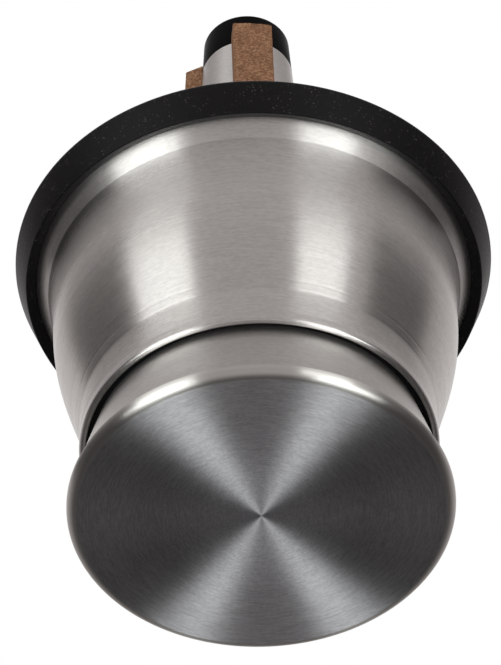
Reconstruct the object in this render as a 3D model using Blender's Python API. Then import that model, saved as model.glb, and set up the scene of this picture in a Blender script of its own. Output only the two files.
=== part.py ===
"""Trumpet cup mute.

A hollow spun cone, closed by a flat cap at its wide end, carries three cork strips on its neck.
A spun cup with a rubber edge slides on over the neck and wedges on the cone by its felt ring.
The mute stands on its cap: the origin is the centre of the cap's face, and +Z points to the neck.
Sizes are in metres, and an outline is a list of (radius, height) points.
"""

import math

import bmesh
import bpy
from mathutils import Matrix, Vector

# Facets round the axis, and along the curved stretches of an outline
ROUND_STEPS = 60
CURVE_STEPS = 6
SHORT_CURVE_STEPS = 4
SMALL_ARC_STEPS = 2
SHARP_ANGLE = math.radians(35)

# Sheet of the spun pieces, and the clearance that glued, pressed and seated pieces keep
SHEET = 0.001
SEAT_GAP = 0.0003

# Whole mute
MUTE_LENGTH = 0.1747
BASE_RADIUS = 0.045

# End cap: rounded edge, thick rim, and the skirt that stands inside the cone's foot
CAP_EDGE_RADIUS = 0.0021
CAP_RIM_HEIGHT = 0.0026
CAP_SKIRT_HEIGHT = 0.006
CONE_STEP_IN = 0.0005

# Body: the straight cone and the straight neck would meet at this corner, which is blended
NECK_ROOT_RADIUS = 0.01436
NECK_ROOT_BELOW_TIP = 0.0637
NECK_TIP_RADIUS = 0.0111
NECK_BLEND_REACH = 0.009
BLEND_SHARE = 0.35

# Black ring on the neck's tip, flush with the neck
TIP_RING_LENGTH = 0.0118
TIP_RING_WALL = 0.0012
TIP_RING_LIP = 0.0013
TIP_RING_EDGE_RADIUS = 0.0008

# Cork strips along the neck, in turn round it, and how far each stops below the tip
CORK_LENGTH = 0.046
CORK_WIDTH = 0.0101
CORK_THICKNESS = 0.0041
CORK_ARC_STEPS = 6
FRONT_CORK_TURN = math.radians(4.6)
CORKS_BELOW_TIP = {"cork_front": 0.0095, "cork_right": 0.0118, "cork_left": 0.0074}

# Cup, from its foot up: outer radii, and the height of each stretch of its outline
COLLAR_RADIUS = 0.0423
COLLAR_TAPER = 0.0001
COLLAR_HEIGHT = 0.0099
HEM_PROUD = 0.0003
HEM_RISE = 0.0011
HEM_HEIGHT = 0.0017
HEM_EDGE_RADIUS = 0.0003
WALL_HEIGHT = 0.0322
BELLY_RADIUS = 0.049
BELLY_TO_BEND = 0.0153
BEND_RADIUS = 0.04935
BEND_TO_RIM = 0.0023
RIM_FOOT_RADIUS = 0.0533
RIM_WIDTH = 0.0059

# Shape of the cup's curves: leans from the axis, radii of its two bends, and handles as shares of
# each curve's span
WALL_LEAN_AT_COLLAR = math.radians(15.5)
WALL_LEAN_AT_BEND = math.radians(5)
RIM_LEAN = math.radians(19.6)
BEND_ROUNDING = 0.0012
RIM_FOOT_ROUNDING = 0.0016
WALL_SHARE_AT_COLLAR = 0.4
WALL_SHARE_AT_BELLY = 0.34
BELLY_SHARE = 0.5
BEND_SHARE = 0.35

# Felt ring between the collar and the cone, as thick as this at its foot
FELT_THICKNESS = 0.0016

# Rubber channel on the cup's rim
EDGING_OVERHANG = 0.00075
EDGING_INNER_RISE = 0.0012
EDGING_OUTER_WALL = 0.0026
EDGING_INNER_WALL = 0.0018
EDGING_CROWN = 0.0024
EDGING_CROWN_RADIUS = 0.0011
EDGING_FOOT_RADIUS = 0.0004
EDGING_MOUTH_RISE = 0.0008

# Places that follow from the sizes above
CONE_FOOT = (BASE_RADIUS - CONE_STEP_IN, CAP_RIM_HEIGHT + SEAT_GAP)
NECK_ROOT = (NECK_ROOT_RADIUS, MUTE_LENGTH - NECK_ROOT_BELOW_TIP)
NECK_TIP = (NECK_TIP_RADIUS, MUTE_LENGTH)
CONE_SLOPE = (CONE_FOOT[0] - NECK_ROOT[0]) / (NECK_ROOT[1] - CONE_FOOT[1])
SHEET_ACROSS_CONE = SHEET * math.hypot(1, CONE_SLOPE)
TIP_STEP = TIP_RING_WALL + SEAT_GAP
TIP_LID_HEIGHT = MUTE_LENGTH - TIP_RING_LIP
BORE_RADIUS = NECK_TIP_RADIUS - TIP_STEP - SHEET

# The cup drops until the cone fills the felt's bore, and its collar hangs a hem below the felt
FELT_RADIUS = COLLAR_RADIUS - SHEET - SEAT_GAP
FELT_FOOT_BORE = FELT_RADIUS - FELT_THICKNESS
FELT_FOOT_HEIGHT = CONE_FOOT[1] + (CONE_FOOT[0] + SEAT_GAP - FELT_FOOT_BORE) / CONE_SLOPE
CUP_FOOT_HEIGHT = FELT_FOOT_HEIGHT - SEAT_GAP - HEM_HEIGHT

# Heights above the foot of the collar, and the ways along the rim and square out from it
BEND_HEIGHT = COLLAR_HEIGHT + WALL_HEIGHT + BELLY_TO_BEND
RIM_FOOT_HEIGHT = BEND_HEIGHT + BEND_TO_RIM
RIM_FOOT = Vector((RIM_FOOT_RADIUS, RIM_FOOT_HEIGHT))
RIM_WAY = Vector((math.sin(RIM_LEAN), math.cos(RIM_LEAN)))
RIM_OUTWARDS = Vector((math.cos(RIM_LEAN), -math.sin(RIM_LEAN)))

ALUMINIUM = {"colour": (0.62, 0.60, 0.58), "roughness": 0.33, "metallic": 1.0}
CORK = {"colour": (0.33, 0.17, 0.09), "roughness": 0.9, "metallic": 0.0}
BLACK_RUBBER = {"colour": (0.012, 0.012, 0.013), "roughness": 0.55, "metallic": 0.0}
BLACK_FELT = {"colour": (0.008, 0.008, 0.009), "roughness": 1.0, "metallic": 0.0}
BLACK_PLASTIC = {"colour": (0.01, 0.01, 0.011), "roughness": 0.4, "metallic": 0.0}


def radius_on_line(start, end, height):
    """Radius at a height on the straight line through two points of an outline."""
    share = (height - start[1]) / (end[1] - start[1])
    return start[0] + share * (end[0] - start[0])


def radius_at(outline, height):
    """Radius at a height on an outline that goes down."""
    for start, end in zip(outline, outline[1:]):
        if end[1] <= height:
            return radius_on_line(start, end, height)
    return outline[-1][0]


def cone_radius(height):
    return radius_on_line(CONE_FOOT, NECK_ROOT, height)


def neck_radius(height):
    return radius_on_line(NECK_ROOT, NECK_TIP, height)


def curve(start, start_way, start_share, end, end_way, end_share, steps):
    """Points of a cubic curve, without its start. It leaves its start and its end along these ways."""
    start, end = Vector(start), Vector(end)
    span = (end - start).length
    corners = (start, start + start_way * span * start_share, end + end_way * span * end_share, end)
    points = []
    for step in range(1, steps + 1):
        along = step / steps
        left = 1 - along
        weights = (left**3, 3 * left**2 * along, 3 * left * along**2, along**3)
        point = sum((weight * corner for weight, corner in zip(weights, corners)), Vector((0, 0)))
        points.append(tuple(point))
    return points


def rounded(before, corner, after, radius, steps=SMALL_ARC_STEPS, most_of_side=0.45):
    """Points of the arc that rounds a corner of an outline, kept within its two sides."""
    corner = Vector(corner)
    back = Vector(before) - corner
    ahead = Vector(after) - corner
    half_angle = back.angle(ahead) / 2
    shorter_side = min(back.length, ahead.length)
    reach = min(radius / math.tan(half_angle), most_of_side * shorter_side)
    middle = corner + (back.normalized() + ahead.normalized()).normalized() * reach / math.cos(half_angle)
    start = corner + back.normalized() * reach - middle
    end = corner + ahead.normalized() * reach - middle
    turn = -start.angle_signed(end)
    return [tuple(middle + Matrix.Rotation(turn * step / steps, 2) @ start) for step in range(steps + 1)]


def inner_side(line, thickness):
    """The inner side of a sheet whose outer side is this line, from its top to its foot.

    Both ends of the sheet are cut square to the axis."""
    points = []
    for index, point in enumerate(line):
        here = Vector(point)
        rays = []
        if index > 0:
            rays.append((here - Vector(line[index - 1])).normalized())
        if index < len(line) - 1:
            rays.append((Vector(line[index + 1]) - here).normalized())
        inwards = [Vector((ray.y, -ray.x)) for ray in rays]
        way = (inwards[0] + inwards[1]).normalized() if len(rays) == 2 else Vector((-1, 0))
        points.append(tuple(here + way * thickness / way.dot(inwards[0])))
    return points


def make_material(name, colour, roughness, metallic):
    finish = bpy.data.materials.new(name)
    finish.use_nodes = True
    finish.diffuse_color = (*colour, 1)
    shader = finish.node_tree.nodes["Principled BSDF"]
    shader.inputs["Base Color"].default_value = (*colour, 1)
    shader.inputs["Roughness"].default_value = roughness
    shader.inputs["Metallic"].default_value = metallic
    return finish


def add_piece(name, bm, finish, parent=None):
    bmesh.ops.recalc_face_normals(bm, faces=bm.faces)
    mesh = bpy.data.meshes.new(name)
    bm.to_mesh(mesh)
    bm.free()
    mesh.materials.append(finish)
    mesh.shade_smooth()
    mesh.set_sharp_from_angle(angle=SHARP_ANGLE)
    piece = bpy.data.objects.new(name, mesh)
    piece.parent = parent
    bpy.context.scene.collection.objects.link(piece)
    return piece


def turn_outline(name, outline, finish, parent=None):
    """A piece turned about the Z axis. An outline that starts and ends on the axis stays open."""
    bm = bmesh.new()
    corners = [bm.verts.new((radius, 0, height)) for radius, height in outline]
    closing = [] if outline[0][0] == outline[-1][0] == 0 else [(corners[-1], corners[0])]
    edges = [bm.edges.new(pair) for pair in [*zip(corners, corners[1:]), *closing]]
    bmesh.ops.spin(
        bm,
        geom=corners + edges,
        cent=(0, 0, 0),
        axis=(0, 0, 1),
        angle=math.tau,
        steps=ROUND_STEPS,
        use_merge=True,
    )
    bmesh.ops.remove_doubles(bm, verts=bm.verts, dist=0.00001)
    return add_piece(name, bm, finish, parent)


def make_end_cap(finish):
    """Spun disc with a rounded edge. Its skirt leans with the cone's inner wall."""
    wall_and_gap = SHEET_ACROSS_CONE + SEAT_GAP
    skirt_top = CAP_RIM_HEIGHT + CAP_SKIRT_HEIGHT
    outer_foot = (cone_radius(CAP_RIM_HEIGHT) - wall_and_gap, CAP_RIM_HEIGHT)
    outer_top = (cone_radius(skirt_top) - wall_and_gap, skirt_top)
    shoulder = (BASE_RADIUS, CAP_RIM_HEIGHT)
    outline = [(0, SHEET), (outer_foot[0] - SHEET, SHEET), (outer_top[0] - SHEET, skirt_top)]
    outline += [outer_top, outer_foot, shoulder]
    outline += rounded(shoulder, (BASE_RADIUS, 0), (0, 0), CAP_EDGE_RADIUS, CURVE_STEPS, most_of_side=0.95)
    outline += [(0, 0)]
    turn_outline("end_cap", outline, finish)


def neck_blend():
    """Points from the neck's straight stretch down to the cone's."""
    top = NECK_ROOT[1] + NECK_BLEND_REACH
    foot = NECK_ROOT[1] - NECK_BLEND_REACH
    start = (neck_radius(top), top)
    end = (cone_radius(foot), foot)
    from_start = (Vector(NECK_ROOT) - Vector(start)).normalized()
    from_end = (Vector(NECK_ROOT) - Vector(end)).normalized()
    return [start, *curve(start, from_start, BLEND_SHARE, end, from_end, BLEND_SHARE, SHORT_CURVE_STEPS)]


def make_body_shell(finish):
    """Spun cone and neck in one. The neck steps in at its end, where the black ring fits over it."""
    end = TIP_LID_HEIGHT - SEAT_GAP
    step = MUTE_LENGTH - TIP_RING_LENGTH - SEAT_GAP
    line = [(neck_radius(end) - TIP_STEP, end), (neck_radius(step) - TIP_STEP, step)]
    line += [(neck_radius(step), step), *neck_blend(), CONE_FOOT]
    turn_outline("body_shell", line + inner_side(line, SHEET)[::-1], finish)


def make_tip_ring(finish):
    """Ring round the neck's stepped end, with a lip over the sheet's cut edge."""
    foot = MUTE_LENGTH - TIP_RING_LENGTH
    outer_foot = (neck_radius(foot), foot)
    outer_top = (NECK_TIP_RADIUS, MUTE_LENGTH)
    bore_top = (BORE_RADIUS, MUTE_LENGTH)
    bore_foot = (BORE_RADIUS, TIP_LID_HEIGHT)
    outline = rounded(bore_top, outer_top, outer_foot, TIP_RING_EDGE_RADIUS, SHORT_CURVE_STEPS)
    outline += [outer_foot, (outer_foot[0] - TIP_RING_WALL, foot)]
    outline += [(neck_radius(TIP_LID_HEIGHT) - TIP_RING_WALL, TIP_LID_HEIGHT), bore_foot]
    outline += rounded(bore_foot, bore_top, outer_top, TIP_RING_EDGE_RADIUS / 2)
    turn_outline("tip_ring", outline, finish)


def make_cork(name, turn, below_tip, finish):
    """Parallel-sided strip, hollowed to the neck at its back and crowned at its front."""
    top = MUTE_LENGTH - below_tip
    foot = top - CORK_LENGTH
    outline = [NECK_TIP, *neck_blend(), CONE_FOOT]
    between = [height for _, height in outline if foot < height < top]
    bm = bmesh.new()
    sections = []
    for height in [top, *between, foot]:
        back_radius = radius_at(outline, height) + SEAT_GAP
        front_radius = back_radius + CORK_THICKNESS
        across = [CORK_WIDTH * (step / CORK_ARC_STEPS - 0.5) for step in range(CORK_ARC_STEPS + 1)]
        back = [bm.verts.new((x, -math.sqrt(back_radius**2 - x**2), height)) for x in across]
        front = [bm.verts.new((x, -math.sqrt(front_radius**2 - x**2), height)) for x in across]
        sections.append(back + front[::-1])
    for upper, lower in zip(sections, sections[1:]):
        for index in range(len(upper)):
            bm.faces.new((upper[index - 1], upper[index], lower[index], lower[index - 1]))
    for section in (sections[0], sections[-1]):
        for index in range(CORK_ARC_STEPS):
            bm.faces.new((section[index], section[index + 1], section[-index - 2], section[-index - 1]))
    cork = add_piece(name, bm, finish)
    cork.rotation_euler.z = turn


def make_cup_shell(finish, parent):
    """Spun cup: hemmed collar, swelling wall, and a ledge bent out to a leaning rim."""
    up, down = Vector((0, 1)), Vector((0, -1))
    wall_way = Vector((math.sin(WALL_LEAN_AT_COLLAR), math.cos(WALL_LEAN_AT_COLLAR)))
    bend_way = Vector((math.sin(WALL_LEAN_AT_BEND), math.cos(WALL_LEAN_AT_BEND)))
    rim_top = RIM_FOOT + RIM_WAY * RIM_WIDTH
    bend = Vector((BEND_RADIUS, BEND_HEIGHT))
    belly = (BELLY_RADIUS, COLLAR_HEIGHT + WALL_HEIGHT)
    collar_top = (COLLAR_RADIUS - COLLAR_TAPER, COLLAR_HEIGHT)
    collar_foot = (COLLAR_RADIUS, 0)

    line = [tuple(rim_top)]
    line += rounded(rim_top, RIM_FOOT, bend, RIM_FOOT_ROUNDING, SHORT_CURVE_STEPS)
    line += rounded(RIM_FOOT, bend, bend - bend_way * BELLY_TO_BEND, BEND_ROUNDING, SHORT_CURVE_STEPS)
    line += curve(line[-1], -bend_way, BEND_SHARE, belly, up, BELLY_SHARE, SHORT_CURVE_STEPS)
    line += curve(belly, down, WALL_SHARE_AT_BELLY, collar_top, wall_way, WALL_SHARE_AT_COLLAR, CURVE_STEPS)

    inner = inner_side([*line, collar_foot], SHEET)[:-1]
    hem_edge = (COLLAR_RADIUS - SHEET - HEM_PROUD, HEM_RISE)
    hem = rounded(collar_top, collar_foot, hem_edge, HEM_EDGE_RADIUS)
    hem += [hem_edge, (hem_edge[0], HEM_HEIGHT), (COLLAR_RADIUS - SHEET, HEM_HEIGHT)]
    turn_outline("cup_shell", line + hem + inner[::-1], finish, parent)


def make_rim_edging(finish, parent):
    """Rubber channel pushed down over the cup's rim, drawn along the rim and square to it.

    Its outer wall hangs below the rim's foot, and its inner wall stops above the ledge."""

    def place(outwards, along):
        return tuple(RIM_FOOT + RIM_OUTWARDS * outwards + RIM_WAY * along)

    slot_outer = SEAT_GAP
    slot_inner = -SHEET - SEAT_GAP
    slot_end = RIM_WIDTH + SEAT_GAP
    foot = -EDGING_OVERHANG
    crown = slot_end + EDGING_CROWN
    outer = slot_outer + EDGING_OUTER_WALL
    inner = slot_inner - EDGING_INNER_WALL
    crown_outer, foot_outer = place(outer, crown), place(outer, foot)
    foot_inner, crown_inner = place(inner, EDGING_INNER_RISE), place(inner, crown)
    mouth_outer = place(slot_outer, foot + EDGING_MOUTH_RISE)
    mouth_inner = place(slot_inner, EDGING_INNER_RISE)

    outline = rounded(crown_inner, crown_outer, foot_outer, EDGING_CROWN_RADIUS, SHORT_CURVE_STEPS)
    outline += rounded(crown_outer, foot_outer, mouth_outer, EDGING_FOOT_RADIUS)
    outline += [mouth_outer, place(slot_outer, slot_end), place(slot_inner, slot_end), mouth_inner]
    outline += rounded(mouth_inner, foot_inner, crown_inner, EDGING_FOOT_RADIUS)
    outline += rounded(foot_inner, crown_inner, crown_outer, EDGING_CROWN_RADIUS, SHORT_CURVE_STEPS)
    turn_outline("rim_edging", outline, finish, parent)


def make_cup_felt(finish, parent):
    """Felt ring that fills the collar above its hem, with a bore that fits the cone."""
    foot = HEM_HEIGHT + SEAT_GAP
    top = COLLAR_HEIGHT
    bore_foot = cone_radius(CUP_FOOT_HEIGHT + foot) + SEAT_GAP
    bore_top = cone_radius(CUP_FOOT_HEIGHT + top) + SEAT_GAP
    outline = [(FELT_RADIUS, top), (FELT_RADIUS, foot), (bore_foot, foot), (bore_top, top)]
    turn_outline("cup_felt", outline, finish, parent)


def main():
    for old in list(bpy.data.objects):
        bpy.data.objects.remove(old)

    aluminium = make_material("brushed_aluminium", **ALUMINIUM)
    cork = make_material("cork", **CORK)
    rubber = make_material("black_rubber", **BLACK_RUBBER)
    felt = make_material("black_felt", **BLACK_FELT)
    plastic = make_material("black_plastic", **BLACK_PLASTIC)

    make_end_cap(aluminium)
    make_body_shell(aluminium)
    make_tip_ring(plastic)
    for index, (name, below_tip) in enumerate(CORKS_BELOW_TIP.items()):
        make_cork(name, FRONT_CORK_TURN + index * math.tau / len(CORKS_BELOW_TIP), below_tip, cork)

    cup_slide = bpy.data.objects.new("cup_slide", None)
    cup_slide.location.z = CUP_FOOT_HEIGHT
    bpy.context.scene.collection.objects.link(cup_slide)
    make_cup_shell(aluminium, cup_slide)
    make_rim_edging(rubber, cup_slide)
    make_cup_felt(felt, cup_slide)


main()
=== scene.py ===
import math

import bpy
from mathutils import Matrix, Vector, noise


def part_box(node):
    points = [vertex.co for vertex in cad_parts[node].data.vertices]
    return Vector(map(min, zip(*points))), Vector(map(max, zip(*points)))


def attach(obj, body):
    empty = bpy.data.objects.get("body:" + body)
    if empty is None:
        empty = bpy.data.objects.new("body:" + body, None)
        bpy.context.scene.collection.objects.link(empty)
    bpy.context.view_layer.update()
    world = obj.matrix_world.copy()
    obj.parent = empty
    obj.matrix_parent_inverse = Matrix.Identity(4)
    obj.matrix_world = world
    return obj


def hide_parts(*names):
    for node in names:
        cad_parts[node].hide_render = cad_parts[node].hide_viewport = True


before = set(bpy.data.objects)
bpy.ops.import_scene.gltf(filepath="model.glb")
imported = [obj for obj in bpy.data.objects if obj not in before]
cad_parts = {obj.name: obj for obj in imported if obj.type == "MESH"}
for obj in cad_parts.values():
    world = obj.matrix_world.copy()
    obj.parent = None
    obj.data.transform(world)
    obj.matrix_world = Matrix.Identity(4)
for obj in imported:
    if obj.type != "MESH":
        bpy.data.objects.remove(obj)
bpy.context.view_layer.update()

# End cap: a disc of spun aluminium that closes the wide end. Its edge is rolled over, its face is
# turned in fine rings, and its skirt is pressed into the foot of the cone.


class Wire:
    """An output in a finish. A sum or product of wires adds the node that works it out."""

    def __init__(self, finish, socket):
        self.finish = finish
        self.socket = socket

    def worked(self, operation, *terms):
        numbers = all(
            term.socket.type == "VALUE" if isinstance(term, Wire) else isinstance(term, (int, float))
            for term in terms
        )
        kind = "ShaderNodeMath" if numbers else "ShaderNodeVectorMath"
        return self.finish.node(kind, {"operation": operation}, dict(enumerate(terms)))

    def __add__(self, other):
        return self.worked("ADD", self, other)

    def __radd__(self, other):
        return self.worked("ADD", other, self)

    def __sub__(self, other):
        return self.worked("SUBTRACT", self, other)

    def __rsub__(self, other):
        return self.worked("SUBTRACT", other, self)

    def __mul__(self, other):
        return self.worked("MULTIPLY", self, other)

    def __rmul__(self, other):
        return self.worked("MULTIPLY", other, self)

    def between(self, low, high, first=0.0, last=1.0):
        """Goes smoothly from the first number to the last while this value goes from low to high."""
        sockets = {"Value": self, "From Min": low, "From Max": high, "To Min": first, "To Max": last}
        return self.finish.node("ShaderNodeMapRange", {"interpolation_type": "SMOOTHSTEP"}, sockets)


class Finish:
    """The nodes of a material or of the world. Constants go on the shader's own sockets."""

    def __init__(self, name, owner=None, **constants):
        self.owner = owner or bpy.data.materials.new(name)
        self.owner.use_nodes = True
        self.tree = self.owner.node_tree
        self.shader = self.tree.nodes.get("Principled BSDF")
        self.shade(**constants)

    def node(self, kind, settings, sockets, output=0):
        """A new node, from its type, its settings, and the values or links of its sockets."""
        made = self.tree.nodes.new(kind)
        for name, value in settings.items():
            if name == "stops":
                stops = made.color_ramp.elements
                for _ in value[2:]:
                    stops.new(0.5)
                for stop, (position, colour) in zip(stops, value):
                    stop.position = position
                    stop.color = (*colour, 1)
            else:
                setattr(made, name, value)
        for name, value in sockets.items():
            self.put(made.inputs[name], value)
        return Wire(self, made.outputs[output])

    def put(self, socket, value):
        if isinstance(value, Wire):
            self.tree.links.new(value.socket, socket)
        elif socket.type == "RGBA":
            socket.default_value = (*value, 1)
        elif socket.type == "VECTOR" and isinstance(value, (int, float)):
            socket.default_value = (value,) * 3
        else:
            socket.default_value = value

    def shade(self, **sockets):
        for name, value in sockets.items():
            self.put(self.shader.inputs[name.replace("_", " ")], value)

    def mix(self, share, first, second):
        """A blend of two colours, which are inputs 6 and 7 of a Mix node. Its output 2 is a colour."""
        sockets = {"Factor": share, 6: first, 7: second}
        return self.node("ShaderNodeMix", {"data_type": "RGBA", "clamp_factor": True}, sockets, 2)

    def place(self):
        """Where a point lies on the mute, in metres."""
        return self.node("ShaderNodeTexCoord", {}, {}, "Object")

    def around_axis(self):
        """Height, distance from the axis, and the way out from the axis with its height left out."""
        place = self.place()
        flat = place * (1.0, 1.0, 0.0)
        height = self.node("ShaderNodeSeparateXYZ", {}, {0: place}, "Z")
        radius = self.node("ShaderNodeVectorMath", {"operation": "LENGTH"}, {0: flat}, "Value")
        way_out = self.node("ShaderNodeVectorMath", {"operation": "NORMALIZE"}, {0: flat})
        return height, radius, way_out

    def speckle(self, place, scale, detail=2.0, roughness=0.5):
        sockets = {"Vector": place, "Scale": scale, "Detail": detail, "Roughness": roughness}
        return self.node("ShaderNodeTexNoise", {}, sockets)

    def rings(self, width, length, detail=2.0):
        """Fine lines round the axis: their width in metres, and their length in turns."""
        height, radius, way_out = self.around_axis()
        along = self.node("ShaderNodeCombineXYZ", {}, {"Z": height * (1 / width)})
        sockets = {
            "Vector": way_out * (1 / length) + along,
            "W": radius * (1 / width),
            "Scale": 1.0,
            "Detail": detail,
        }
        return self.node("ShaderNodeTexNoise", {"noise_dimensions": "4D"}, sockets)

    def bump(self, height, depth):
        return self.node("ShaderNodeBump", {}, {"Height": height, "Distance": depth})


def rounded(before, corner, after, radius, steps=8):
    """Points of the arc that rounds a corner of an outline."""
    corner = Vector(corner)
    back = (Vector(before) - corner).normalized()
    ahead = (Vector(after) - corner).normalized()
    half_angle = back.angle(ahead) / 2
    reach = radius / math.tan(half_angle)
    middle = corner + (back + ahead).normalized() * reach / math.cos(half_angle)
    start = corner + back * reach - middle
    turn = -start.angle_signed(corner + ahead * reach - middle)
    turns = [turn * step / steps for step in range(steps + 1)]
    return [tuple(middle + Matrix.Rotation(angle, 2) @ start) for angle in turns]


def dressed(name, mesh, node, body, finish, sharp=32):
    """Smooths a mesh up to an angle in degrees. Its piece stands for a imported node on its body."""
    mesh.shade_smooth()
    mesh.set_sharp_from_angle(angle=math.radians(sharp))
    mesh.materials.append(finish.owner)
    piece = bpy.data.objects.new(name, mesh)
    bpy.context.scene.collection.objects.link(piece)
    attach(piece, body)
    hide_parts(node)


def turned(name, outline, node, body, finish, around=288):
    """A piece turned about the axis from an outline of (radius, height) points."""
    verts, rows = [], []
    for radius, height in outline:
        if radius == 0:
            rows.append([len(verts)] * around)
            verts.append((0, 0, height))
            continue
        rows.append(list(range(len(verts), len(verts) + around)))
        turns = [math.tau * step / around for step in range(around)]
        verts += [(radius * math.cos(turn), radius * math.sin(turn), height) for turn in turns]
    closed = outline[0][0] != 0
    pairs = list(zip(rows, rows[1:])) + ([(rows[-1], rows[0])] if closed else [])
    faces = []
    for near, far in pairs:
        for step in range(around):
            corners = (near[step - 1], near[step], far[step], far[step - 1])
            faces.append(tuple(dict.fromkeys(corners)))
    mesh = bpy.data.meshes.new(name)
    mesh.from_pydata(verts, [], faces)
    mesh.update()
    if sum(face.normal.dot(face.center) * face.area for face in mesh.polygons) < 0:
        mesh.flip_normals()
    dressed(name, mesh, node, body, finish)


sheet = 0.001
base_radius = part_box("end_cap")[1].x
cap_rim = 0.0026
skirt_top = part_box("end_cap")[1].z
skirt_foot_radius, skirt_top_radius = 0.0433, 0.0416
edge_rounding = 0.0021
flat_radius = base_radius - edge_rounding

disc_metal = Finish("disc_aluminium", Metallic=1.0, Anisotropic=1.0, Anisotropic_Rotation=0.25)
disc_lines = disc_metal.rings(width=0.00022, length=0.12)
disc_streaks = disc_metal.rings(width=0.0005, length=0.03)
disc_bands = disc_metal.rings(width=0.0015, length=1.6, detail=3.0)
disc_radius = disc_metal.around_axis()[1]
burnished = disc_radius.between(flat_radius - 0.0004, flat_radius + 0.0003)

line_tone = (disc_lines + disc_streaks * 0.6).between(0.55, 1.05)
faced_colour = disc_metal.mix(line_tone, (0.46, 0.46, 0.485), (0.64, 0.64, 0.665))
burnished_colour = (0.66, 0.645, 0.625)
middle_roughness, outer_roughness, outer_ring, band_change = 0.85, 0.5, 0.036, 0.02
faced_roughness = disc_radius.between(0.0, outer_ring, middle_roughness, outer_roughness)
faced_roughness += disc_bands.between(0.3, 0.7, -band_change, band_change)
disc_metal.shade(
    Base_Color=disc_metal.mix(burnished, faced_colour, burnished_colour),
    Roughness=faced_roughness * (1 - 0.4 * burnished),
    Normal=disc_metal.bump((disc_lines + disc_streaks) * (1 - burnished), depth=0.000006),
)

cap_shoulder = (base_radius, cap_rim)
cap_outline = [(0, sheet), (skirt_foot_radius - sheet, sheet), (skirt_top_radius - sheet, skirt_top)]
cap_outline += [(skirt_top_radius, skirt_top), (skirt_foot_radius, cap_rim), cap_shoulder]
cap_outline += rounded(cap_shoulder, (base_radius, 0), (0, 0), edge_rounding, 10)
cap_outline += [(base_radius * share, 0) for share in (0.75, 0.5, 0.25)] + [(0, 0)]
turned("closed_end", cap_outline, "end_cap", "body", disc_metal)

# Body: one spun aluminium shell, a straight cone that blends into a straight neck, brushed round
# its axis. It stands on the end cap, and its other end steps in to take the black ring.
mute_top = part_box("tip_ring")[1].z
ring_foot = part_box("tip_ring")[0].z
cone_inset, cone_lift = 0.0005, 0.0001
neck_length = 0.0637
cone_foot = (base_radius - cone_inset, cap_rim + cone_lift)
neck_root = (0.01436, mute_top - neck_length)
neck_tip = (0.0111, mute_top)
blend_reach, blend_pull = 0.009, 0.35
step_gap, step_depth, end_drop = 0.0001, 0.0014, 0.0016


def on_line(start, end, height):
    """The point at a height on the straight line through two (radius, height) points."""
    share = (height - start[1]) / (end[1] - start[1])
    return (start[0] + share * (end[0] - start[0]), height)


def bowed(start, start_way, start_pull, end, end_way, end_pull, steps):
    """Points of a cubic curve after its start. It leaves its two ends along these ways."""
    start, end = Vector(start), Vector(end)
    span = (end - start).length
    first = start + Vector(start_way).normalized() * span * start_pull
    second = end + Vector(end_way).normalized() * span * end_pull
    points = []
    for step in range(1, steps + 1):
        along = step / steps
        left = 1 - along
        point = left**3 * start + 3 * left**2 * along * first
        point += 3 * left * along**2 * second + along**3 * end
        points.append(tuple(point))
    return points


def inner_side(line, thickness):
    """The inner side of a sheet whose outer side runs down this line."""
    points = []
    for index, point in enumerate(line):
        before = Vector(line[max(index - 1, 0)])
        after = Vector(line[min(index + 1, len(line) - 1)])
        way = (after - before).normalized()
        points.append(tuple(Vector(point) + Vector((way.y, -way.x)) * thickness))
    return points


def brushed(name, band_width, band_length, smooth, rough):
    """Aluminium brushed round the axis, with fine lines, short streaks and wide faint bands."""
    metal = Finish(name, Metallic=1.0, Anisotropic=0.8, Anisotropic_Rotation=0.25)
    lines = metal.rings(width=0.0002, length=0.12)
    streaks = metal.rings(width=0.00055, length=0.03)
    bands = metal.rings(band_width, band_length, detail=3.0)
    tone = (lines + streaks).between(0.7, 1.3)
    metal.shade(
        Base_Color=metal.mix(tone, (0.57, 0.555, 0.545), (0.675, 0.66, 0.645)),
        Roughness=bands.between(0.3, 0.7, smooth, rough),
        Normal=metal.bump(lines, depth=0.000004),
    )
    return metal


body_metal = brushed("body_aluminium", band_width=0.002, band_length=1.2, smooth=0.28, rough=0.32)

blend_start = on_line(neck_root, neck_tip, neck_root[1] + blend_reach)
blend_end = on_line(cone_foot, neck_root, neck_root[1] - blend_reach)
to_root = Vector(neck_root) - Vector(blend_start)
from_root = Vector(neck_root) - Vector(blend_end)
blend = bowed(blend_start, to_root, blend_pull, blend_end, from_root, blend_pull, 12)

neck_step, neck_end = ring_foot - step_gap, mute_top - end_drop
step_radius = on_line(neck_root, neck_tip, neck_step)[0]
end_radius = on_line(neck_root, neck_tip, neck_end)[0] - step_depth
neck_row, cone_rows = 0.14, (0.08, 0.05, 0.02)
body_line = [(end_radius, neck_end), (step_radius - step_depth, neck_step), (step_radius, neck_step)]
body_line += [on_line(neck_root, neck_tip, neck_row), blend_start, *blend]
body_line += [on_line(cone_foot, neck_root, height) for height in cone_rows] + [cone_foot]
slanted_sheet = sheet * 1.04  # the leaning sheet, measured level at the cone's foot
body_inside = inner_side(body_line, sheet)[:-1] + [(cone_foot[0] - slanted_sheet, cone_foot[1])]
turned("cone_and_neck", body_line + body_inside[::-1], "body_shell", "body", body_metal)

# Tip ring: a moulded ring of black plastic with a rounded end. It is pressed over the stepped end
# of the neck, flush with the neck's outside, and its lid covers the neck's edge.
black_plastic = Finish("black_plastic", Specular_IOR_Level=0.02)
plastic_grain = black_plastic.speckle(black_plastic.place(), scale=2500.0, detail=3.0)
black_plastic.shade(
    Base_Color=black_plastic.mix(plastic_grain, (0.001, 0.001, 0.0012), (0.004, 0.004, 0.0043)),
    Roughness=plastic_grain.between(0.3, 0.7, first=0.3, last=0.42),
    Normal=black_plastic.bump(plastic_grain, depth=0.00001),
)

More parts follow.
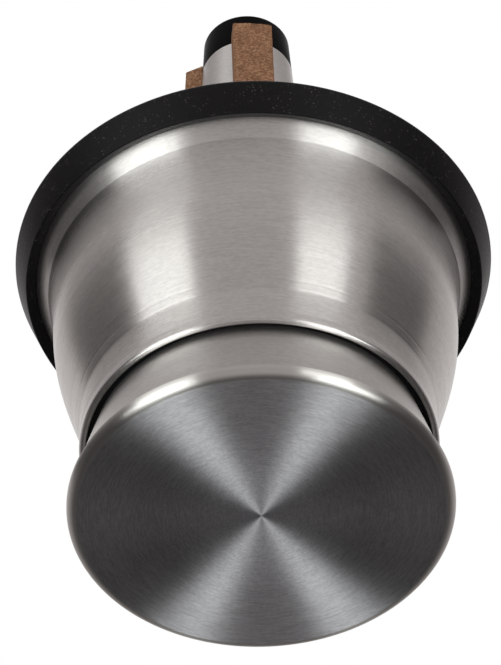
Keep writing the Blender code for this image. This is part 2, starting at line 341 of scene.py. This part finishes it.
ring_wall, ring_bore, lid_depth = 0.0012, 0.0086, 0.0013
tip_rounding, foot_rounding, bore_rounding = 0.0008, 0.0002, 0.0004
lid = mute_top - lid_depth
lid_radius = on_line(neck_root, neck_tip, lid)[0] - ring_wall
bore_top = (ring_bore, mute_top)
ring_outer = on_line(neck_root, neck_tip, ring_foot)
ring_inner = (ring_outer[0] - ring_wall, ring_foot)
ring_outline = rounded(bore_top, neck_tip, ring_outer, tip_rounding)
ring_outline += rounded(neck_tip, ring_outer, ring_inner, foot_rounding, 4)
ring_outline += [ring_inner, (lid_radius, lid), (ring_bore, lid)]
ring_outline += rounded((ring_bore, lid), bore_top, neck_tip, bore_rounding, 5)
turned("neck_tip_ring", ring_outline, "tip_ring", "body", black_plastic)

# Cork strips: three strips cut from pressed cork granules, glued along the neck a third of a turn
# apart. Their outer faces are sanded nearly flat, their edges are crumbled a little, and their
# grains are lighter and darker.
cork_width, cork_depth, cork_rounding = 0.0101, 0.0041, 0.00016
front_cork_turn = math.radians(4.6)
cork_glue_gap, cork_row = 0.00008, 0.0006
face_bow, edge_fan = 0.4, 0.6
crumb_scale, crumb_height, crumb_sink, crumb_end_sink = 1500, 0.00011, 0.00003, 0.00006

cork = Finish("cork", Roughness=0.85, Specular_IOR_Level=0.25)
cork_place = cork.place()
grain_shift = cork.speckle(cork_place, scale=900.0, detail=3.0) - 0.5
grain_sockets = {"Vector": cork_place + grain_shift * 0.0006, "Scale": 2000.0}
grains = cork.node("ShaderNodeTexVoronoi", {"feature": "F1"}, grain_sockets, "Color")
grain_tone = cork.node("ShaderNodeSeparateXYZ", {}, {0: grains}, "X")
fine_grain = cork.speckle(cork_place, scale=4200.0, detail=4.0, roughness=0.65)
soft_patch = cork.speckle(cork_place, scale=260.0)
cork_browns = (
    (0.2, (0.11, 0.048, 0.023)),
    (0.45, (0.21, 0.102, 0.054)),
    (0.65, (0.3, 0.152, 0.084)),
    (0.9, (0.5, 0.29, 0.165)),
)
cork_tone = grain_tone * 0.42 + fine_grain * 0.55 + soft_patch * 0.2
cork.shade(
    Base_Color=cork.node("ShaderNodeValToRGB", {"stops": cork_browns}, {0: cork_tone}),
    Normal=cork.bump(fine_grain + grain_tone * 0.5, depth=0.00014),
)

cork_side = cork_width / 2
face_side = cork_side - cork_rounding
corner_side, corner_out = cork_side - 0.1 * cork_rounding, cork_depth - 0.8 * cork_rounding
cork_back = [(cork_side - cork_width * step / 12, 0.0) for step in range(13)]
cork_face = [(2 * face_side * step / 16 - face_side, cork_depth) for step in range(17)]
side_outs = [cork_depth * step / 4 for step in (1, 2, 3)]
cork_section = cork_back + [(-cork_side, out) for out in side_outs] + [(-corner_side, corner_out)]
cork_section += cork_face + [(corner_side, corner_out)] + [(cork_side, out) for out in side_outs[::-1]]


def cork_strip(name, node, turn):
    """A strip up the neck's outside, from rows of a crumbled section."""
    foot, top = (corner.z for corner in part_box(node))
    neck_side = [neck_tip, blend_start, *blend]
    rows = round((top - foot) / cork_row)
    count = len(cork_section)
    spin = Matrix.Rotation(turn, 3, "Z")
    verts, faces = [], []
    for row in range(rows + 1):
        height = foot + (top - foot) * row / rows
        stretch = next(ends for ends in zip(neck_side, neck_side[1:]) if ends[1][1] <= height + 1e-9)
        back = on_line(*stretch, height)[0] + cork_glue_gap
        sink = crumb_end_sink if row in (0, rows) else crumb_sink
        for across, out in cork_section:
            radius = back + out
            bulge = radius - math.sqrt(radius**2 - across**2)
            point = Vector((across, bulge * (face_bow if out > 0 else 1) - radius, height))
            if out > 0:
                crumble = noise.fractal(point * crumb_scale, 0.6, 2.0, 3) * crumb_height
                point += Vector((across * edge_fan, point.y, 0)).normalized() * (crumble - sink)
            verts.append(tuple(spin @ point))
    for row in range(rows):
        for step in range(count):
            left, right = row * count + (step - 1) % count, row * count + step
            faces.append((left, right, right + count, left + count))
    faces += [tuple(range(count))[::-1], tuple(range(rows * count, (rows + 1) * count))]
    mesh = bpy.data.meshes.new(name)
    mesh.from_pydata(verts, [], faces)
    mesh.update()
    dressed(name, mesh, node, "body", cork, 50)


for index, side in enumerate(("front", "right", "left")):
    cork_strip("cork_strip_" + side, "cork_" + side, front_cork_turn + index * math.tau / 3)

# Cup: one sheet of spun aluminium, brushed round its axis. Its near-cylindrical collar ends below
# in a hem turned in and up. Above its crease the wall swells, then bends out to a leaning rim.
cup_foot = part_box("cup_shell")[0].z
collar_radius = 0.0423
collar_top = (collar_radius - 0.0001, cup_foot + 0.0099)
belly = (0.049, collar_top[1] + 0.0322)
bend = Vector((0.0504, belly[1] + 0.0133))
shoulder = (0.04905, belly[1] + 0.0011)
rim_foot = Vector((0.0533, belly[1] + 0.0176))
wall_lean, bend_lean, rim_lean = (math.radians(angle) for angle in (15.5, 17, 19.6))
wall_way = Vector((math.sin(wall_lean), math.cos(wall_lean)))
bend_way = Vector((math.sin(bend_lean), math.cos(bend_lean)))
rim_way = Vector((math.sin(rim_lean), math.cos(rim_lean)))
rim_outwards = Vector((math.cos(rim_lean), -math.sin(rim_lean)))
rim_width = 0.0059
rim_top = rim_foot + rim_way * rim_width
rim_rounding, bend_rounding = 0.0016, 0.0006
tool_lines = (collar_top[1] + 0.0032, collar_top[1] + 0.0009, cup_foot + 0.0027)
tool_depth, tool_half_width, least_gap = 0.00003, 0.00022, 0.00001


def scored(line, heights):
    """The line, which runs down, with a shallow groove at each of these heights."""
    groove = ((tool_half_width, 0), (0, tool_depth), (-tool_half_width, 0))
    points = []
    for start, end in zip(line, line[1:]):
        points.append(start)
        for height in heights:
            if start[1] > height >= end[1]:
                for offset, cut in groove:
                    level = min(max(height + offset, end[1] + least_gap), start[1] - least_gap)
                    points.append((on_line(start, end, level)[0] - cut, level))
    return [*points, line[-1]]


cup_metal = brushed("cup_aluminium", band_width=0.0022, band_length=1.4, smooth=0.27, rough=0.305)

up, down = (0, 1), (0, -1)
cup_line = [tuple(rim_top)] + rounded(rim_top, rim_foot, bend, rim_rounding, 10)
cup_line += rounded(rim_foot, bend, bend - bend_way, bend_rounding)
cup_line += bowed(cup_line[-1], -bend_way, 0.3, shoulder, up, 0.35, 24) + [belly]
cup_line += bowed(belly, down, 0.34, collar_top, wall_way, 0.4, 28)
cup_inside = inner_side([*cup_line, (collar_radius, cup_foot)], sheet)[:-1]
cup_outside = scored([*cup_line, (collar_radius, cup_foot + sheet)], tool_lines)

hem_radius, hem_rounding, hem_top = collar_radius - 0.00165, 0.00078, cup_foot + 0.0017
hem_outer_top, hem_outer_foot = (collar_radius, hem_top), (collar_radius, cup_foot)
hem_inner_foot, hem_inner_top = (hem_radius, cup_foot), (hem_radius, hem_top)
hem = rounded(hem_outer_top, hem_outer_foot, hem_inner_foot, hem_rounding)
hem += rounded(hem_outer_foot, hem_inner_foot, hem_inner_top, hem_rounding)
hem += [hem_inner_top, (collar_radius - sheet, hem_top)]
cup_outline = cup_outside + hem + cup_inside[::-1]
turned("spun_cup", cup_outline, "cup_shell", "cup", cup_metal, around=320)

# Rim edging: a channel of soft black rubber, pushed down over the cup's rim so that the cup
# touches the horn without a sound. Fine dust sits on it.
rubber = Finish("black_rubber", Specular_IOR_Level=0.13, Sheen_Weight=0.2, Sheen_Roughness=0.3)
rubber_place = rubber.place()
rubber_grain = rubber.speckle(rubber_place, scale=2600.0, detail=4.0, roughness=0.6)
rubber_colour = rubber.mix(rubber_grain, (0.001, 0.0008, 0.001), (0.009, 0.008, 0.0092))
dust_sockets = {"Vector": rubber_place, "Scale": 1300.0}
dust_spots = rubber.node("ShaderNodeTexVoronoi", {"feature": "F1"}, dust_sockets, "Distance")
dust_patch = rubber.speckle(rubber_place, scale=420.0, detail=3.0)
dust = dust_spots.between(0.32, 0.12) * dust_patch.between(0.44, 0.66)
dust_colour = (0.06, 0.054, 0.05)
rubber.shade(
    Base_Color=rubber.mix(dust, rubber_colour, dust_colour),
    Roughness=rubber_grain.between(0.3, 0.7, first=0.38, last=0.5),
    Normal=rubber.bump(rubber_grain, depth=0.00004),
)

seat_gap, slot_gap, mouth_rise, slot_rise = 0.0003, 0.00012, 0.0008, 0.0001
outer_wall, inner_wall, crown_height = 0.0026, 0.0018, 0.0024
outer_foot_height, inner_foot_height = -0.00075, 0.0012
crown_rounding, lip_rounding = 0.0011, 0.0004


def on_rim(outwards, along):
    """A point from the rim's foot, so far out of its outer side and so far up its lean."""
    return tuple(rim_foot + rim_outwards * outwards + rim_way * along)


edging_outer, edging_inner = seat_gap + outer_wall, -sheet - seat_gap - inner_wall
slot_outer, slot_inner = slot_gap, -sheet - slot_gap
slot_end = rim_width + slot_rise
crown = rim_width + seat_gap + crown_height
crown_outer, crown_inner = on_rim(edging_outer, crown), on_rim(edging_inner, crown)
foot_outer, foot_inner = on_rim(edging_outer, outer_foot_height), on_rim(edging_inner, inner_foot_height)
mouth_outer = on_rim(slot_outer, outer_foot_height + mouth_rise)
mouth_inner = on_rim(slot_inner, inner_foot_height)
edging = rounded(crown_inner, crown_outer, foot_outer, crown_rounding)
edging += rounded(crown_outer, foot_outer, mouth_outer, lip_rounding, 5)
edging += [mouth_outer, on_rim(slot_outer, slot_end), on_rim(slot_inner, slot_end), mouth_inner]
edging += rounded(mouth_inner, foot_inner, crown_inner, lip_rounding, 5)
edging += rounded(foot_inner, crown_inner, crown_outer, crown_rounding)
turned("rubber_edging", edging, "rim_edging", "cup", rubber, around=320)

# Felt ring: black felt glued inside the collar. The cup wedges on the cone by it, and its cut
# edge is fuzzy where it shows under the hem.
felt = Finish("black_felt", Roughness=1.0, Specular_IOR_Level=0.1)
felt_nap = felt.speckle(felt.place(), scale=3800.0, detail=4.0, roughness=0.7)
felt.shade(
    Base_Color=felt.mix(felt_nap, (0.003, 0.003, 0.0035), (0.014, 0.0135, 0.014)),
    Normal=felt.bump(felt_nap, depth=0.0002),
)

felt_low, felt_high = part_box("cup_felt")
felt_radius = felt_high.x
felt_gap = 0.00006
felt_bore_foot = (on_line(cone_foot, neck_root, felt_low.z)[0] + felt_gap, felt_low.z)
felt_bore_top = (on_line(cone_foot, neck_root, felt_high.z)[0] + felt_gap, felt_high.z)
felt_outline = [(felt_radius, felt_high.z), (felt_radius, felt_low.z), felt_bore_foot, felt_bore_top]
turned("felt_ring", felt_outline, "cup_felt", "cup", felt)

felt_width = felt_radius - felt_bore_foot[0]
fibre_count, fibre_rows, fibre_sides = 700, 4, 3
fibre_length, length_change, fibre_radius, root_depth = 0.00045, 0.0006, 0.000035, 0.0001
out_lean, inward_lean, side_lean, side_curl, taper = 1.6, 0.15, 2.4, 0.8, 1.15

verts, faces = [], []
for index in range(fibre_count):
    turn = math.tau * (index + 0.8 * noise.cell(Vector((index, 0.5, 0.5)))) / fibre_count
    longer, outer, sideways, share = (
        noise.noise(Vector((index * 7.31, draw * 3.7, 0.4))) for draw in range(4)
    )
    length = fibre_length + length_change * longer
    out = Vector((math.cos(turn), math.sin(turn), 0))
    along = Vector((-out.y, out.x, 0))
    root = out * (felt_bore_foot[0] + felt_width * (0.45 + 0.5 * share))
    root.z = felt_low.z + root_depth
    tip_way = Vector((0, 0, -1)) + out * (outer * out_lean - inward_lean) + along * sideways * side_lean
    rows = []
    for step in range(fibre_rows):
        reached = step / (fibre_rows - 1)
        middle = root + tip_way * length * reached
        middle += along * length * sideways * side_curl * reached**2
        width = fibre_radius * (taper - reached)
        rows.append(range(len(verts), len(verts) + fibre_sides))
        for corner in range(fibre_sides):
            spoke = math.tau * corner / fibre_sides
            verts.append(tuple(middle + (out * math.cos(spoke) + along * math.sin(spoke)) * width))
    for near, far in zip(rows, rows[1:]):
        for corner in range(fibre_sides):
            faces.append((near[corner], near[corner - 1], far[corner - 1], far[corner]))
    faces += [tuple(rows[0]), tuple(rows[-1])[::-1]]
fuzz_mesh = bpy.data.meshes.new("felt_fuzz")
fuzz_mesh.from_pydata(verts, [], faces)
fuzz_mesh.update()
dressed("felt_fuzz", fuzz_mesh, "cup_felt", "cup", felt, 180)

# Studio: a pale floor that is seen only from above and fades away outwards, a tall softbox on
# either side, and a pale room with an upright dark card beside each softbox.
floor_reach, floor_drop, fade_start, fade_end = 6.0, 0.0002, 0.16, 0.8
floor_mesh = bpy.data.meshes.new("floor")
floor_corners = [(x * floor_reach, y * floor_reach, 0) for x, y in ((-1, -1), (1, -1), (1, 1), (-1, 1))]
floor_mesh.from_pydata(floor_corners, [], [(0, 1, 2, 3)])
floor = bpy.data.objects.new("floor", floor_mesh)
floor.location.z = -floor_drop
bpy.context.scene.collection.objects.link(floor)
floor_finish = Finish("floor", Roughness=0.9, Base_Color=(0.84, 0.84, 0.83), Emission_Strength=0.25)
seen_from_below = floor_finish.node("ShaderNodeNewGeometry", {}, {}, "Backfacing")
faded = floor_finish.around_axis()[1].between(fade_start, fade_end)
clear_share = 1 - (1 - seen_from_below) * (1 - faded)
pale = Wire(floor_finish, floor_finish.shader.outputs[0])
clear = floor_finish.node("ShaderNodeBsdfTransparent", {}, {})
shown = floor_finish.node("ShaderNodeMixShader", {}, {0: clear_share, 1: pale, 2: clear})
floor_finish.put(floor_finish.tree.nodes["Material Output"].inputs["Surface"], shown)
floor_mesh.materials.append(floor_finish.owner)
floor.visible_diffuse = False
floor.visible_glossy = False
floor.visible_shadow = False
floor.visible_transmission = False

scene = bpy.context.scene
scene.view_settings.view_transform = "Standard"
world = bpy.data.worlds.new("studio")
scene.world = world
room = Finish("studio", world)
way = room.node("ShaderNodeTexCoord", {}, {}, "Generated")
level_way = room.node("ShaderNodeVectorMath", {"operation": "NORMALIZE"}, {0: way * (1.0, 1.0, 0.0)})
frontwards = room.node("ShaderNodeSeparateXYZ", {}, {0: way}, "Y") * -1.0
upwards = room.node("ShaderNodeSeparateXYZ", {}, {0: way}, "Z")


def nearness(direction, middle):
    """1 where two directions agree, and 0 where they stand square to each other."""
    return room.node("ShaderNodeVectorMath", {"operation": "DOT_PRODUCT"}, {0: direction, 1: middle}, "Value")


def card(azimuth, half_width, soft_edge=5):
    """How far a direction lies within an upright card. Azimuth 0 is the photographed side."""
    middle = (math.sin(math.radians(azimuth)), -math.cos(math.radians(azimuth)), 0.0)
    outer, inner = (math.cos(math.radians(half_width + edge)) for edge in (soft_edge, -soft_edge))
    return nearness(level_way, middle).between(outer, inner)


# How bright the room is in each direction.
ceiling = upwards.between(-0.3, 0.6)
low_front = frontwards.between(0.0, 0.8) * (1 - ceiling)
back = frontwards.between(-0.25, -0.7) * upwards.between(-0.6, -0.25)
front_floor = frontwards.between(0.1, 0.7) * upwards.between(-0.1, -0.5)
side_cards = (card(-96, 24) + card(83, 21)) * upwards.between(0.0, 0.26)
side_cards *= 1 - upwards.between(0.36, 0.75)
room_light = ceiling * 0.45 + low_front * 0.28 + front_floor * 0.2 + back * 0.28 + 0.06
room_light *= 1 - side_cards * 0.95
room_sockets = {"Color": (1.0, 0.94, 0.925), "Strength": room_light}
room_shade = room.node("ShaderNodeBackground", {}, room_sockets)

# A white backdrop, which the camera sees all round and the metal mirrors behind the mute.
backdrop = room.node("ShaderNodeBackground", {}, {"Color": (1.0, 1.0, 1.0), "Strength": 1.0})
backdrop_way = (0.02, 0.68, 0.73)
near_backdrop = nearness(way, backdrop_way).between(0.86, 0.99)
to_camera, to_metal, through = (
    room.node("ShaderNodeLightPath", {}, {}, f"Is {ray} Ray") for ray in ("Camera", "Glossy", "Transmission")
)
backdrop_share = to_camera + (to_metal + through) * near_backdrop
seen = room.node("ShaderNodeMixShader", {}, {0: backdrop_share, 1: room_shade, 2: backdrop})
room.put(room.tree.nodes["World Output"].inputs["Surface"], seen)

softbox_distance, softbox_height, softbox_colour = 1.1, 0.05, (0.97, 1.0, 0.975)


def softbox(name, azimuth, width, low, high, radiance):
    """An upright lamp between two elevations, in degrees. Azimuth 0 is the photographed side."""
    lamp = bpy.data.lights.new(name, "AREA")
    lamp.shape = "RECTANGLE"
    foot, top = (softbox_distance * math.tan(math.radians(angle)) for angle in (low, high))
    lamp.size = 2 * softbox_distance * math.tan(math.radians(width / 2))
    lamp.size_y = top - foot
    lamp.energy = radiance * math.pi * lamp.size * lamp.size_y
    lamp.color = softbox_colour
    stand = bpy.data.objects.new(name, lamp)
    turn = math.radians(azimuth)
    out = Vector((math.sin(turn), -math.cos(turn), 0))
    stand.location = out * softbox_distance + Vector((0, 0, softbox_height + (foot + top) / 2))
    stand.rotation_euler = (-out).to_track_quat("-Z", "Y").to_euler()
    scene.collection.objects.link(stand)


for name, azimuth, width, low, high, radiance in (
    ("left_low", -61, 36, -62, -32, 4.2),
    ("left", -49.5, 32, -32, 21, 1.42),
    ("left_high", -49.5, 32, 21, 62, 0.24),
    ("right_low", 52, 33, -62, -32, 4.2),
    ("right", 33.5, 26, -32, 21, 1.28),
    ("right_high", 33.5, 26, 21, 58, 0.14),
):
    softbox(name + "_softbox", azimuth, width, low, high, radiance)

# Camera: it looks up at the closed end through a long lens, as in the photograph. Its place, turn
# and lens were fitted to the outlines of the disc, the rim, the cup's foot and the neck.
camera = bpy.data.objects.new("camera", bpy.data.cameras.new("camera"))
camera.location = (-0.020618, -0.648532, -0.656478)
camera.rotation_euler = [math.radians(angle) for angle in (137.97640, 1.18851, -0.39290)]
camera.data.lens = 216.54
camera.data.sensor_width = 36
scene.collection.objects.link(camera)
scene.camera = camera
